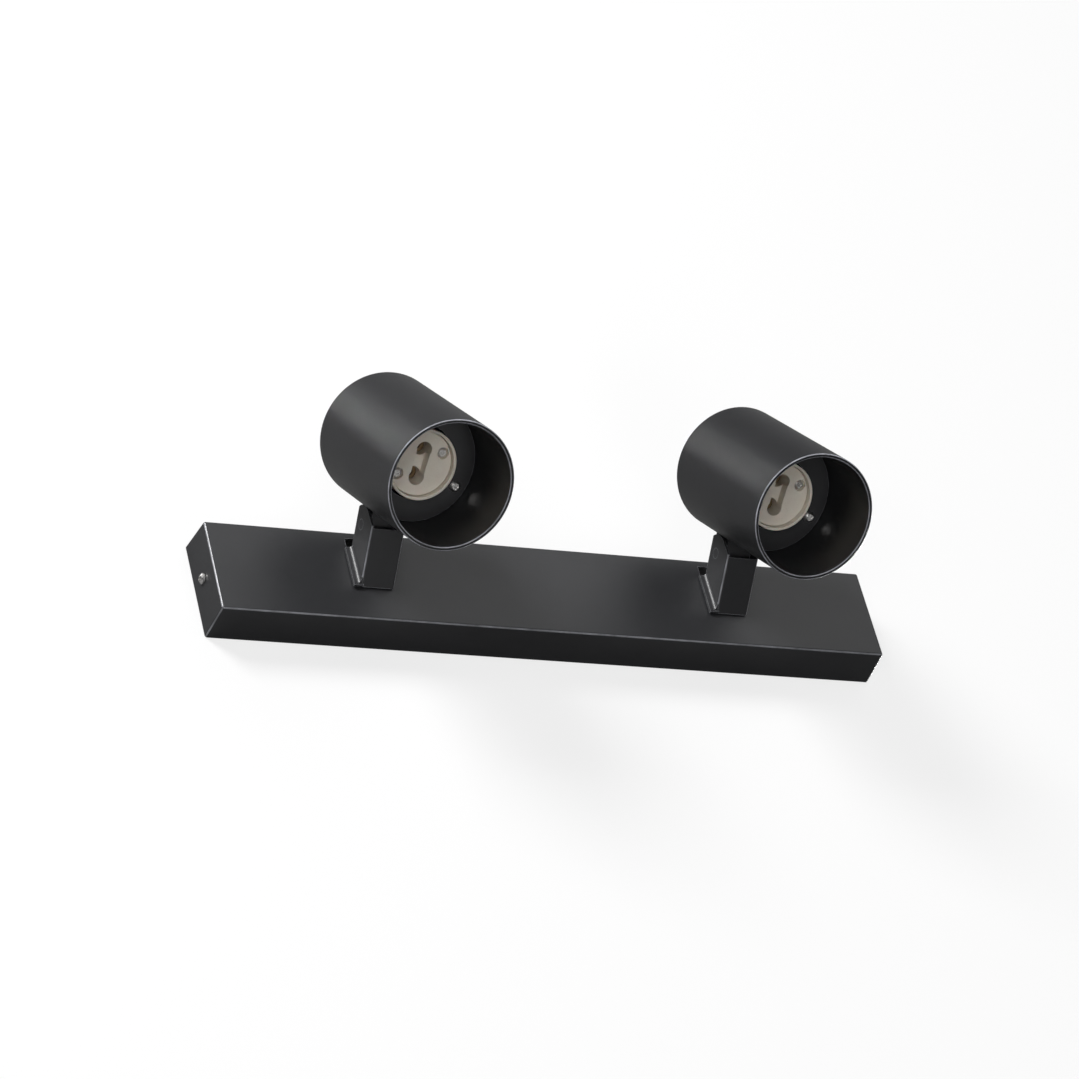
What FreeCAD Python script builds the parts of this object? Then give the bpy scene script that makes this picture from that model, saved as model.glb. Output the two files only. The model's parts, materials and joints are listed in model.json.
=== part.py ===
import FreeCAD
import Part
import math
import os
import re
import Sketcher

# A wall light with two pivoting spotlights on one long shallow cover.
#
# Frames, each turned about X only:
#   base  x along the cover, y up the wall, z out of the wall, wall plane at z = 0
#   foot  the same directions, origin where a swivel axis meets the cover's front face
#   pivot origin on the tilt axis, y across the leaning arm (away from its web), z along the arm
#   lamp  origin on the tube's axis at its back end, z along the axis towards the open rim
# In the finished part the wall plane is Y = 0, the front looks along -Y and +Z is up.

# Driving sizes in millimetres and degrees, one cell each.
SIZES = {
    # cover
    "cover_length": 340,
    "cover_width": 49,
    "cover_depth": 20.5,
    "cover_sheet": 1.2,
    "cover_flare": 1.3,
    "cover_edge": 1.2,
    "window_width": 20.4,
    "window_low": 8.3,
    "window_high": 17.4,
    # mounting plate
    "plate_width": 40,
    "plate_sheet": 1.5,
    "plate_bend": 1.0,
    "ear_width": 14,
    "ear_height": 15,
    "cover_screw_height": 9.5,
    "wall_slot_spacing": 120,
    "wall_slot_width": 4.5,
    "wall_slot_length": 12,
    # cable entry, terminals and earth
    "cable_x": -34,
    "cable_y": -8.5,
    "cable_bore": 9,
    "grommet_body": 15,
    "grommet_flange": 19,
    "grommet_lip": 1.2,
    "terminal_x": 22,
    "terminal_length": 20,
    "terminal_width": 24,
    "terminal_height": 12,
    "terminal_recess": 2.4,
    "terminal_bore_height": 5,
    "pole_pitch": 7.5,
    "clamp_outer": 4.2,
    "clamp_bore": 3.0,
    "clamp_length": 17,
    "stud_x": -8,
    "stud_y": -13.5,
    "stud_diameter": 4.0,
    "stud_length": 7.5,
    "earth_washer": 0.8,
    "earth_nut_flats": 7,
    "earth_nut_height": 2.8,
    # leads
    "wire": 2.0,
    "wire_pitch": 2.1,
    "lead_hold": 2,
    "lead_run": 12,
    "lead_low": 4.1,
    "lead_ramp": 8,
    "lead_sway": 0.3,
    "lead_dip": 2.0,
    "lead_slant": 1.2,
    "lead_exit": 3.6,
    "lead_gap": 0.1,
    "lug_gap": 0.8,
    "bore_run": 11.5,
    "bow_back": 5.5,
    "bow_height": 25.5,
    "bow_end": 2.0,
    "earth_run": 8,
    "earth_drop": 6,
    "earth_step": 1.5,
    # swivel at the foot of each arm
    "arm_spacing": 183,
    "swivel_rise": 3.4,
    "friction_washer": 0.8,
    "friction_washer_diameter": 16,
    "bush_diameter": 10,
    "bush_bore": 6,
    "bush_flange_diameter": 13.4,
    "bush_flange": 1.0,
    "bush_end": 0.8,
    "spring_washer": 0.9,
    "nut_across_flats": 14,
    "nut_height": 3,
    # arm
    "arm_lean": 35.9,
    "arm_width": 16.8,
    "arm_sheet": 1.2,
    "arm_bend": 1.1,
    "foot_depth": 21.6,
    "lip_reach": 3.4,
    "lip_bend": 2.4,
    "tongue_width": 4,
    "tongue_out": 14.2,
    "tongue_drop": 2.5,
    # tilt pivot at the top of each arm
    "pivot_inset": 12,
    "pivot_height": 26,
    "tilt_forward": 35,
    "pin_diameter": 5,
    "pin_depth": 4,
    "pivot_washer": 0.5,
    "pivot_washer_diameter": 9.6,
    "lug_width": 13,
    "lug_round": 6.4,
    "lug_bore": 4.6,
    "lug_screw_offset": 4.4,
    "lug_screw_depth": 4.6,
    # head
    "tube_diameter": 60,
    "tube_wall": 1.7,
    "tube_length": 83.5,
    "tube_back": 14.5,
    "tube_lift": 8.6,
    "rim_chamfer": 0.35,
    "cap_recess": 0.6,
    "cap_sheet": 2.0,
    "disc_depth": 40,
    "disc_sheet": 1.0,
    "disc_hole": 35,
    "disc_screw_circle": 22.6,
    "disc_screw_angle": -26,
    "tab_width": 9,
    "tab_sheet": 1.5,
    "tab_height": 12,
    "bracket_sheet": 1.2,
    "bracket_width": 8,
    "wire_hole": 7.2,
    "holder_diameter": 33,
    "holder_stand": 3.6,
    "holder_height": 20.4,
    "face_height": 3.2,
    "collar_wall": 1.3,
    "collar_rise": 2.6,
    "holder_edge": 0.5,
    "keyhole_angle": 83.5,
    "keyhole_pitch": 6.4,
    "keyhole_radius": 3.7,
    "keyhole_waist": 6.6,
    "waist_depth": 5,
    "keyhole_depth": 12,
    "contact_length": 3,
    "holder_screw_circle": 11.5,
    "holder_screw_angle": 28.4,
    "counterbore_depth": 2.2,
    "counterbore_diameter": 5.6,
    # fasteners
    "fine_screw": 2.5,
    "small_screw": 3.0,
    "cover_screw": 3.0,
    # shares of a screw's diameter: its head's radius, height and crown, and its cross recess
    "head_share": 0.85,
    "head_rise": 0.5,
    "crown_share": 0.53,
    "shoulder_share": 0.23,
    "cross_reach": 0.47,
    "cross_half": 0.1,
    "cross_depth": 0.22,
    # small edges
    "small_edge": 0.3,
    # clearances
    "running_fit": 0.05,
    "push_fit": 0.02,
    "fit_gap": 0.3,
    "stop_gap": 0.45,
}

# Sizes worked out from the driving ones.
DERIVED = {
    "tube_radius": "tube_diameter / 2",
    "tube_bore": "tube_radius - tube_wall",
    "axis_lift": "tube_radius + tube_lift",
    "arm_inside": "arm_width / 2 - arm_sheet",
    "flange_depth": "foot_depth * cos(arm_lean)",
    "flange_round": "axis_lift - sqrt(pow(tube_radius; 2) - pow(arm_inside; 2)) - stop_gap",
    "flange_front": "pivot_height + flange_round / cos(tilt_forward) - pivot_inset * tan(tilt_forward)",
    "web_top": "pivot_height + (tube_lift - stop_gap) / cos(tilt_forward) - pivot_inset * tan(tilt_forward)",
    "floor_top": "friction_washer + arm_sheet",
    "bush_bottom": "-(cover_sheet + running_fit + spring_washer + nut_height + bush_end)",
    "spring_top": "-(cover_sheet + running_fit)",
    "nut_top": "spring_top - spring_washer",
    "ear_face": "cover_length / 2 - cover_sheet - fit_gap",
    "bore_height": "plate_sheet + terminal_bore_height",
    "pin_length": "arm_sheet + (arm_inside - lug_width / 2) + pin_depth",
    "disc_front": "tube_length - disc_depth",
    "disc_back": "disc_front - disc_sheet",
    "foot_back": "disc_back - bracket_sheet",
    "face_front": "disc_front + holder_stand",
    "holder_back": "face_front - holder_height",
    "body_front": "face_front - face_height",
    "tab_face": "sqrt(pow(tube_bore - running_fit; 2) - pow(tab_width / 2; 2))",
    "leg_inside": "holder_diameter / 2 + fit_gap",
    "screw_seat": "axis_lift - tube_bore + running_fit * 3",
    "collar_front": "face_front + collar_rise",
    "collar_bore": "holder_diameter / 2 - collar_wall",
    "face_radius": "collar_bore - fit_gap",
    "screw_gap": "push_fit * 5",
}

doc = FreeCAD.newDocument("PivotingSpotlightWallLight")
sheet = doc.addObject("Spreadsheet::Sheet", "Sizes")
for row, (alias, number) in enumerate(SIZES.items(), start=1):
    sheet.set("A%d" % row, alias)
    sheet.set("B%d" % row, str(number))
    sheet.setAlias("B%d" % row, alias)
doc.recompute()

XY, XZ, YZ = "XY_Plane", "XZ_Plane", "YZ_Plane"
SUBPARTS = []


def bound(text):
    """An expression of size names, written as the document understands it."""
    def swap(match):
        word = match.group()
        if word in DERIVED:
            return "(" + bound(DERIVED[word]) + ")"
        return "Sizes." + word if word in SIZES else word
    return re.sub(r"[a-z_]+", swap, str(text))


def value(text):
    """The number that an expression of size names gives now."""
    return float(sheet.evalExpression(bound(text)))


def arm_y(across, along):
    """Foot-frame y of a point of the leaning arm, from its web's face and its foot."""
    return "(-foot_depth / 2 + (%s) * cos(arm_lean) + (%s) * sin(arm_lean))" % (across, along)


def arm_z(across, along):
    """Foot-frame z of the same point."""
    return "(friction_washer - (%s) * sin(arm_lean) + (%s) * cos(arm_lean))" % (across, along)


def arm_point(across, along):
    """Both foot-frame coordinates of a point of the leaning arm."""
    return arm_y(across, along), arm_z(across, along)


# ---------------------------------------------------------------- frames

def frame_at(across, rise, out, turn):
    """A frame by its origin in the base frame and its turn about X."""
    return {"across": across, "rise": rise, "out": out, "turn": turn}


def side_frames(side):
    """The foot, pivot and lamp frames of one side, -1 left or 1 right."""
    across = "%d * arm_spacing / 2" % side
    lamp_across = "pivot_inset + tube_back"
    lamp_along = "pivot_height + axis_lift"
    foot = frame_at(across, "swivel_rise", "cover_depth", "90")
    pivot = frame_at(across, "swivel_rise + " + arm_y("pivot_inset", "pivot_height"),
                     "cover_depth + " + arm_z("pivot_inset", "pivot_height"), "90 - arm_lean")
    lamp = frame_at(across, "swivel_rise + " + arm_y(lamp_across, lamp_along),
                    "cover_depth + " + arm_z(lamp_across, lamp_along), "180 - arm_lean")
    return foot, pivot, lamp


BASE = frame_at("0", "0", "0", "90")


def place(item, frame):
    """Put a sub-part in its frame and list it for writing."""
    spot = FreeCAD.Vector(value(frame["across"]), -value(frame["out"]), value(frame["rise"]))
    turn = FreeCAD.Rotation(FreeCAD.Vector(1, 0, 0), value(frame["turn"]))
    item.Placement = FreeCAD.Placement(spot, turn)
    item.setExpression("Placement.Base.x", bound(frame["across"]))
    item.setExpression("Placement.Base.y", bound("-(" + frame["out"] + ")"))
    item.setExpression("Placement.Base.z", bound(frame["rise"]))
    item.setExpression("Placement.Rotation.Angle", bound(frame["turn"]))
    SUBPARTS.append(item)
    return item


def shift(item, x="0", y="0", z="0", axis=(0, 0, 1), turn="0"):
    """Place one solid of a group inside the group's own frame."""
    rotation = FreeCAD.Rotation(FreeCAD.Vector(*axis), value(turn))
    item.Placement = FreeCAD.Placement(FreeCAD.Vector(value(x), value(y), value(z)), rotation)
    for name, text in (("x", x), ("y", y), ("z", z)):
        item.setExpression("Placement.Base." + name, bound(text))
    return item


def group(label, members, frame):
    """Join separate solids into one node."""
    item = doc.addObject("Part::Compound", label)
    item.Label = label
    item.Links = members
    return place(item, frame)


# ---------------------------------------------------------------- sketches

def new_body(label):
    body = doc.addObject("PartDesign::Body", label)
    body.Label = label
    return body


def origin_feature(body, role):
    return [item for item in body.Origin.OriginFeatures if item.Role == role][0]


def sketch_on(body, plane, lift="0", tilt=None):
    """A sketch on an origin plane, lifted along its normal or tilted about its own x axis."""
    sketch = body.newObject("Sketcher::SketchObject", body.Label + "_sketch")
    sketch.AttachmentSupport = (origin_feature(body, plane), [""])
    sketch.MapMode = "FlatFace"
    turn = FreeCAD.Rotation(FreeCAD.Vector(1, 0, 0), value(tilt or "0"))
    sketch.AttachmentOffset = FreeCAD.Placement(FreeCAD.Vector(0, 0, value(lift)), turn)
    sketch.setExpression("AttachmentOffset.Base.z", bound(lift))
    if tilt:
        sketch.setExpression("AttachmentOffset.Rotation.Angle", bound(tilt))
    return sketch


def fix(sketch, kind, geometry, point, text):
    """Hold one coordinate of a point, measured from the sketch's origin."""
    index = sketch.addConstraint(Sketcher.Constraint(kind, -1, 1, geometry, point, value(text)))
    sketch.setExpression("Constraints[%d]" % index, bound(text))


def circle(sketch, radius, x="0", y="0"):
    centre = FreeCAD.Vector(value(x), value(y), 0)
    ring = Part.Circle(centre, FreeCAD.Vector(0, 0, 1), value(radius))
    index = sketch.addGeometry(ring, False)
    fix(sketch, "DistanceX", index, 3, x)
    fix(sketch, "DistanceY", index, 3, y)
    held = sketch.addConstraint(Sketcher.Constraint("Radius", index, value(radius)))
    sketch.setExpression("Constraints[%d]" % held, bound(radius))
    return sketch


def outline(sketch, corners, rounds=None, hollows=None):
    """A closed outline through corners listed anticlockwise.

    rounds and hollows give, for a side's number, the centre of the arc that replaces
    that side: a round bulges out of the outline and a hollow cuts into it.
    """
    arcs = dict(rounds or {})
    arcs.update(hollows or {})
    turned_over = set(hollows or {})
    count = len(corners)
    points = [FreeCAD.Vector(value(x), value(y), 0) for x, y in corners]
    sides = []
    for number in range(count):
        start, end = points[number], points[(number + 1) % count]
        if number in turned_over:
            start, end = end, start
        if number in arcs:
            middle = FreeCAD.Vector(*[value(text) for text in arcs[number]], 0)
            ring = Part.Circle(middle, FreeCAD.Vector(0, 0, 1), (start - middle).Length)
            first = math.atan2(start.y - middle.y, start.x - middle.x)
            last = math.atan2(end.y - middle.y, end.x - middle.x)
            sides.append(Part.ArcOfCircle(ring, first, last))
        else:
            sides.append(Part.LineSegment(start, end))
    first_index = sketch.addGeometry(sides, False)[0]
    for number in range(count):
        index = first_index + number
        following = (number + 1) % count
        head = 2 if number in turned_over else 1
        joined = 2 if following in turned_over else 1
        sketch.addConstraint(Sketcher.Constraint("Coincident", index, 3 - head, first_index + following, joined))
        x, y = corners[number]
        before = arcs.get((number - 1) % count)
        if before is None:
            fix(sketch, "DistanceX", index, head, x)
            fix(sketch, "DistanceY", index, head, y)
        else:
            # the arc's radius already holds this corner one way
            steep = abs(points[number].y - value(before[1])) > abs(points[number].x - value(before[0]))
            fix(sketch, "DistanceX" if steep else "DistanceY", index, head, x if steep else y)
        if number in arcs:
            fix(sketch, "DistanceX", index, 3, arcs[number][0])
            fix(sketch, "DistanceY", index, 3, arcs[number][1])
    return sketch


def rectangle(sketch, left, low, right, high):
    return outline(sketch, [(left, low), (right, low), (right, high), (left, high)])


# ---------------------------------------------------------------- features

def pad(body, sketch, length, both_ways=False, back=False):
    feature = body.newObject("PartDesign::Pad", body.Label + "_pad")
    feature.Profile = sketch
    feature.setExpression("Length", bound(length))
    feature.SideType = "Symmetric" if both_ways else "One side"
    feature.Reversed = back
    return feature


def pocket(body, sketch, length, both_ways=False, back=False):
    """Cut a sketch out of the body, and stop if nothing was cut."""
    doc.recompute()
    before = body.Shape.Volume
    feature = body.newObject("PartDesign::Pocket", body.Label + "_pocket")
    feature.Profile = sketch
    feature.setExpression("Length", bound(length))
    feature.SideType = "Symmetric" if both_ways else "One side"
    feature.Reversed = back
    doc.recompute()
    if not body.Shape.Volume < before - 1e-6:
        raise RuntimeError("a pocket of %s cuts nothing" % body.Label)
    return feature


def turned(body, corners, lift="0"):
    """Turn a profile of (radius, z) corners about the body's z axis."""
    sketch = sketch_on(body, XZ, lift)
    outline(sketch, corners)
    feature = body.newObject("PartDesign::Revolution", body.Label + "_turn")
    feature.Profile = sketch
    feature.ReferenceAxis = (origin_feature(body, "Z_Axis"), [""])
    feature.Angle = 360
    return feature


def ring(body, bore, radius, low, high):
    """A plain ring or disc between two heights."""
    return turned(body, [(bore, low), (radius, low), (radius, high), (bore, high)])


def round_edges(body, radius, wanted):
    """Fillet the edges that the wanted test picks by their two ends."""
    doc.recompute()
    tip = body.Tip
    names = []
    for number, edge in enumerate(tip.Shape.Edges, start=1):
        if len(edge.Vertexes) == 2 and wanted(edge.Vertexes[0].Point, edge.Vertexes[1].Point):
            names.append("Edge%d" % number)
    if not names:
        raise RuntimeError("no edge to round on " + body.Label)
    feature = body.newObject("PartDesign::Fillet", body.Label + "_fillet")
    feature.Base = (tip, names)
    feature.setExpression("Radius", bound(radius))
    return feature


def near(first, second):
    return abs(first - second) < 1e-4


def turned_part(label, frame, corners):
    body = new_body(label)
    turned(body, corners)
    return place(body, frame)


def ring_part(label, frame, bore, radius, low, high):
    return turned_part(label, frame, [(bore, low), (radius, low), (radius, high), (bore, high)])


def pan_screw(label, screw, length):
    """A screw along z with its head above z = 0: a low crown with a cross recess, and a plain shank."""
    body = new_body(label)
    head, rise = "%s * head_share" % screw, "%s * head_rise" % screw
    turned(body, [
        ("0", "-(%s)" % length),
        ("%s / 2" % screw, "-(%s)" % length),
        ("%s / 2" % screw, "0"),
        (head, "0"),
        (head, "%s * shoulder_share" % screw),
        ("%s * crown_share" % screw, rise),
        ("0", rise),
    ])
    arm, half = "%s * cross_reach" % screw, "%s * cross_half" % screw
    for wide, tall in ((arm, half), (half, arm)):
        sketch = sketch_on(body, XY, rise)
        rectangle(sketch, "-" + wide, "-" + tall, wide, tall)
        pocket(body, sketch, "%s * cross_depth" % screw)
    return body


# ---------------------------------------------------------------- base

def base_cover():
    body = new_body("base_cover")

    def plan(inset):
        long_half = "(cover_length / 2 + cover_flare - %s)" % inset
        wide_half = "(cover_width / 2 + cover_flare - %s)" % inset
        return rectangle(sketch_on(body, XY), "-" + long_half, "-" + wide_half, long_half, wide_half)

    shell = pad(body, plan("0"), "cover_depth")
    shell.setExpression("TaperAngle", bound("-atan(cover_flare / cover_depth)"))
    doc.recompute()
    depth = value("cover_depth")
    round_edges(body, "cover_edge", lambda a, b: near(a.z, depth) or near(b.z, depth))
    hollow = pocket(body, plan("cover_sheet"), "cover_depth - cover_sheet", back=True)
    hollow.setExpression("TaperAngle", bound("-atan(cover_flare / cover_depth)"))
    holes = sketch_on(body, XY, "cover_depth")
    for side in (-1, 1):
        middle = "(%d * arm_spacing / 2)" % side
        circle(holes, "bush_diameter / 2 + running_fit", middle, "swivel_rise")
        rectangle(holes, middle + " - window_width / 2", "swivel_rise + window_low",
                  middle + " + window_width / 2", "swivel_rise + window_high")
    pocket(body, holes, "cover_sheet * 2")
    ends = sketch_on(body, YZ)
    circle(ends, "cover_screw / 2 + screw_gap", "0", "cover_screw_height")
    pocket(body, ends, "cover_length * 1.1", both_ways=True)
    return place(body, BASE)


def slot(sketch, x, y):
    """A rounded slot along x."""
    half = "(wall_slot_length - wall_slot_width) / 2"
    reach = "wall_slot_width / 2"
    left, right = "(%s) - %s" % (x, half), "(%s) + %s" % (x, half)
    low, high = "(%s) - %s" % (y, reach), "(%s) + %s" % (y, reach)
    outline(sketch, [(left, low), (right, low), (right, high), (left, high)],
            rounds={1: (right, y), 3: (left, y)})


def mounting_plate():
    body = new_body("mounting_plate")
    half = "plate_width / 2"
    pad(body, rectangle(sketch_on(body, XY), "-(ear_face)", "-" + half, "ear_face", half), "plate_sheet")
    for side in ("-", ""):
        inner, outer = side + "(ear_face - plate_sheet)", side + "(ear_face)"
        left, right = (outer, inner) if side else (inner, outer)
        ear = rectangle(sketch_on(body, XY), left, "-ear_width / 2", right, "ear_width / 2")
        pad(body, ear, "ear_height")
    bend = value("ear_face - plate_sheet")
    top = value("plate_sheet")
    round_edges(body, "plate_bend", lambda a, b: near(abs(a.x), bend) and near(a.x, b.x)
                and near(a.z, top) and near(b.z, top))
    holes = sketch_on(body, XY, "plate_sheet")
    for side in (-1, 1):
        slot(holes, "%d * wall_slot_spacing / 2" % side, "0")
    circle(holes, "grommet_body / 2 + push_fit", "cable_x", "cable_y")
    circle(holes, "stud_diameter / 2 + push_fit", "stud_x", "stud_y")
    circle(holes, "small_screw / 2 + push_fit", "terminal_x", "pole_pitch / 2")
    pocket(body, holes, "plate_sheet * 2")
    ends = sketch_on(body, YZ)
    circle(ends, "cover_screw / 2 + push_fit", "0", "cover_screw_height")
    pocket(body, ends, "cover_length", both_ways=True)
    return place(body, BASE)


def cover_screws():
    head_low = "(cover_screw_height - cover_screw * head_share)"
    seat = "(cover_length / 2 + cover_flare * (1 - %s / cover_depth) + push_fit)" % head_low
    screws = []
    for side, turn in ((-1, "-90"), (1, "90")):
        screw = pan_screw("cover_screw_%s" % ("left" if side < 0 else "right"), "cover_screw",
                          "cover_sheet * 2 + cover_flare + fit_gap + plate_sheet + cover_screw / 2")
        screws.append(shift(screw, "%d * %s" % (side, seat), "0", "cover_screw_height", (0, 1, 0), turn))
    return group("cover_screws", screws, BASE)


def pole_y(pole):
    """The three poles from the earth side upwards are 0, 1 and 2."""
    return "%d * pole_pitch" % (pole - 1)


def terminal_block():
    body = new_body("terminal_block")
    left, right = "terminal_x - terminal_length / 2", "terminal_x + terminal_length / 2"
    plan = rectangle(sketch_on(body, XY, "plate_sheet"), left, "-terminal_width / 2", right, "terminal_width / 2")
    pad(body, plan, "terminal_height")
    bores = sketch_on(body, YZ, "terminal_x")
    for pole in range(3):
        circle(bores, "clamp_outer / 2 + push_fit", pole_y(pole), "bore_height")
    pocket(body, bores, "terminal_length + 2", both_ways=True)
    tops = sketch_on(body, XY, "plate_sheet + terminal_height")
    for pole in range(3):
        for side in (-1, 1):
            circle(tops, "fine_screw / 2 + screw_gap", "terminal_x + %d * clamp_length / 4" % side, pole_y(pole))
    pocket(body, tops, "terminal_height - terminal_bore_height")
    fixing = sketch_on(body, XY, "plate_sheet + terminal_height")
    circle(fixing, "small_screw / 2 + screw_gap", "terminal_x", "pole_pitch / 2")
    pocket(body, fixing, "terminal_height + 1")
    seat = sketch_on(body, XY, "plate_sheet + terminal_height")
    circle(seat, "small_screw * head_share + screw_gap", "terminal_x", "pole_pitch / 2")
    pocket(body, seat, "terminal_recess")
    return place(body, BASE)


def terminal_clamps():
    clamps = []
    for pole in range(3):
        body = new_body("terminal_clamp_%d" % pole)
        ring(body, "clamp_bore / 2", "clamp_outer / 2", "-clamp_length / 2", "clamp_length / 2")
        clamps.append(shift(body, "terminal_x", pole_y(pole), "bore_height", (0, 1, 0), "90"))
    return group("terminal_clamps", clamps, BASE)


def terminal_screws():
    """Grub screws that stand on the clamps, two to a pole."""
    screws = []
    foot = "(bore_height + clamp_outer / 2 + push_fit)"
    top = "(plate_sheet + terminal_height - fit_gap)"
    for pole in range(3):
        for side in (-1, 1):
            body = new_body("terminal_screw_%d_%d" % (pole, side + 1))
            ring(body, "0", "fine_screw / 2", "0", "%s - %s" % (top, foot))
            sketch = sketch_on(body, XY, "%s - %s" % (top, foot))
            rectangle(sketch, "-fine_screw", "-fine_screw / 10", "fine_screw", "fine_screw / 10")
            pocket(body, sketch, "fine_screw / 3")
            screws.append(shift(body, "terminal_x + %d * clamp_length / 4" % side, pole_y(pole), foot))
    return group("terminal_screws", screws, BASE)


def terminal_fixing_screw():
    floor = "terminal_height - terminal_recess"
    screw = pan_screw("terminal_fixing", "small_screw", floor + " + plate_sheet")
    seat = "plate_sheet + %s + push_fit" % floor
    return group("terminal_fixing_screw", [shift(screw, "terminal_x", "pole_pitch / 2", seat)], BASE)


def earth_parts():
    stud = new_body("earth_stud_pin")
    ring(stud, "0", "stud_diameter / 2", "0", "plate_sheet + stud_length")
    group("earth_stud", [shift(stud, "stud_x", "stud_y")], BASE)
    washer_low = "plate_sheet + wire + push_fit"
    nut_low = washer_low + " + earth_washer"
    washer = new_body("earth_washer_ring")
    ring(washer, "stud_diameter / 2 + push_fit", "stud_diameter", washer_low, nut_low)
    group("earth_washer", [shift(washer, "stud_x", "stud_y")], BASE)
    nut = new_body("earth_nut_hexagon")
    hexagon(nut, "earth_nut_flats / 2", "stud_diameter / 2 + push_fit", nut_low, "earth_nut_height")
    group("earth_nut", [shift(nut, "stud_x", "stud_y")], BASE)


def hexagon(body, flat_radius, bore, low, height):
    """A nut blank with a round hole, its flats at flat_radius from the axis."""
    sketch = sketch_on(body, XY, low)
    corners = []
    for number in range(6):
        angle = 60 * number + 30
        reach = "(%s) / cos(30)" % flat_radius
        corners.append(("%s * cos(%d)" % (reach, angle), "%s * sin(%d)" % (reach, angle)))
    outline(sketch, corners)
    circle(sketch, bore)
    pad(body, sketch, height)


def cable_grommet():
    body = new_body("cable_grommet_ring")
    turned(body, [
        ("cable_bore / 2", "0"),
        ("grommet_body / 2", "0"),
        ("grommet_body / 2", "plate_sheet"),
        ("grommet_flange / 2", "plate_sheet"),
        ("grommet_flange / 2 - small_edge", "plate_sheet + grommet_lip"),
        ("cable_bore / 2", "plate_sheet + grommet_lip"),
    ])
    return group("cable_grommet", [shift(body, "cable_x", "cable_y")], BASE)


# ---------------------------------------------------------------- leads

def wire_solid(points, radius):
    """A round wire along straight runs joined by tangent arcs; prints its tightest bend."""
    route = [FreeCAD.Vector(*point) for point in points]
    edges, radii, start = [], [], route[0]
    for before, corner, after in zip(route, route[1:], route[2:]):
        first, last = (corner - before), (after - corner)
        half_turn = first.getAngle(last) / 2
        bend = 0.45 * min(first.Length, last.Length) / math.tan(half_turn)
        reach = bend * math.tan(half_turn)
        enter = corner - first.normalize() * reach
        leave = corner + last.normalize() * reach
        inward = (leave - corner) + (enter - corner)
        middle = corner + inward.normalize() * (bend / math.cos(half_turn) - bend)
        edges.append(Part.LineSegment(start, enter).toShape())
        edges.append(Part.Arc(enter, middle, leave).toShape())
        radii.append(bend)
        start = leave
    edges.append(Part.LineSegment(start, route[-1]).toShape())
    path = Part.Wire(edges)
    section = Part.Circle(route[0], route[1] - route[0], radius).toShape()
    solid = path.makePipeShell([Part.Wire([section])], True, False)
    expected = math.pi * radius ** 2 * path.Length
    print("wire of %.1f mm, bends %s, volume ratio %.4f"
          % (path.Length, " ".join("%.1f" % bend for bend in radii) or "none", solid.Volume / expected))
    return solid


def wire_group(label, routes, frame):
    """One or more wires as one node; the points are chosen by hand, in the frame given."""
    item = doc.addObject("Part::Feature", label)
    item.Label = label
    radius = value("wire") / 2
    item.Shape = Part.makeCompound([wire_solid(route, radius) for route in routes])
    return place(item, frame)


def supply_lead(side, label):
    """Two wires from the poles to one swivel bush, up into it to just under the cover's face."""
    rise, axis_x = value("swivel_rise"), value("arm_spacing") / 2
    height, low, run, ramp = value("bore_height"), value("lead_low"), value("lead_run"), value("lead_ramp")
    start_x = side * value("terminal_x") + value("clamp_length / 2 - lead_hold")
    top = value("cover_depth - lead_dip - wire / 2")
    routes = []
    for pole, lane in ((1, -0.5), (2, 0.5)):
        lane_y = rise + lane * value("wire_pitch")
        start_y = value(pole_y(pole))
        routes.append([(side * x, y, z) for x, y, z in (
            (start_x, start_y, height),
            (start_x + run, start_y + side * value("lead_sway"), height),
            (start_x + 2 * run, lane_y, low + value("lead_sway")),
            (axis_x - ramp, lane_y, low),
            (axis_x, lane_y, low + ramp),
            (axis_x, lane_y, top),
        )])
    return wire_group(label, routes, BASE)


def earth_lead():
    """One wire from the earth pole to the stud, where the washer holds its end."""
    start_x, start_y = value("terminal_x - clamp_length / 2 + lead_hold"), value(pole_y(0))
    height, floor = value("bore_height"), value("plate_sheet + wire / 2")
    run, drop = value("earth_run"), value("earth_drop")
    points = [
        (start_x, start_y, height),
        (start_x - run, start_y, height - value("lead_sway")),
        (start_x - run - drop, value("stud_y + earth_step"), floor),
        (value("stud_x + stud_diameter / 2 + lead_sway"), value("stud_y"), floor),
    ]
    return wire_group("earth_lead", [points], BASE)


def arm_lead(label, frame):
    """Two wires that slant up out of the bush and on to just under the lug."""
    half, slant = value("wire_pitch") / 2, value("lead_slant")
    under_lug = arm_point("pivot_inset", "pivot_height - lug_round - lug_gap")
    end_y, end_z = value(under_lug[0]), value(under_lug[1])
    routes = []
    for offset in (-half, half):
        routes.append([
            (offset, -slant, -value("lead_dip")),
            (offset, slant, value("lead_exit")),
            (offset, end_y, end_z),
        ])
    return wire_group(label, routes, frame)


def head_lead(label, frame):
    """Two wires from the lug's bore to the back of the lampholder, in the pivot frame."""
    half = value("wire_pitch") / 2
    axis = value("axis_lift")
    back = value("tube_back - (holder_back - bracket_sheet) + lead_gap")
    routes = []
    for offset in (-half, half):
        routes.append([
            (offset, 0, value("lug_gap - lug_round")),
            (offset, 0, value("bore_run")),
            (offset, value("bow_back"), value("bow_height")),
            (offset, value("bow_end"), axis - value("lug_gap")),
            (offset, back, axis),
        ])
    return wire_group(label, routes, frame)


# ---------------------------------------------------------------- arm and swivel

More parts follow.
